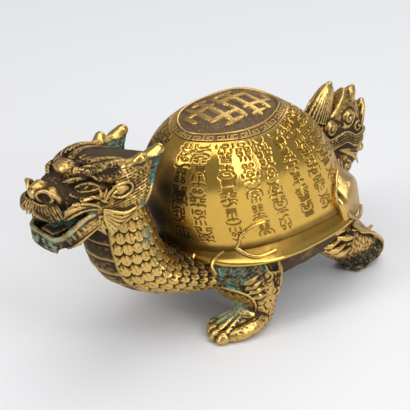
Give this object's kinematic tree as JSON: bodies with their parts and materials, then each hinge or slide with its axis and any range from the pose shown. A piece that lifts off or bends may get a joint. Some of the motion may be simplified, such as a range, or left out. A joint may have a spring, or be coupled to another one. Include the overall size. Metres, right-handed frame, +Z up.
{
  "type": "dragon turtle figure",
  "caption": "Cast brass dragon turtle: domed shell with an oval medallion and incised marks, horned open-mouthed dragon head on a scaled neck, clawed feet, upright flame tail.",
  "frame": {"origin": "centre of the bounding box, on the ground under the soles", "axes": "+Z up, the head looks towards -Y, +X is the turtle's left"},
  "size_m": [0.068, 0.167, 0.0835],
  "materials": {
    "brass": "aged polished brass, dark in the recesses with green verdigris"
  },
  "bodies": {
    "root": {"dragon_turtle": "brass"}
  },
  "joints": []
}
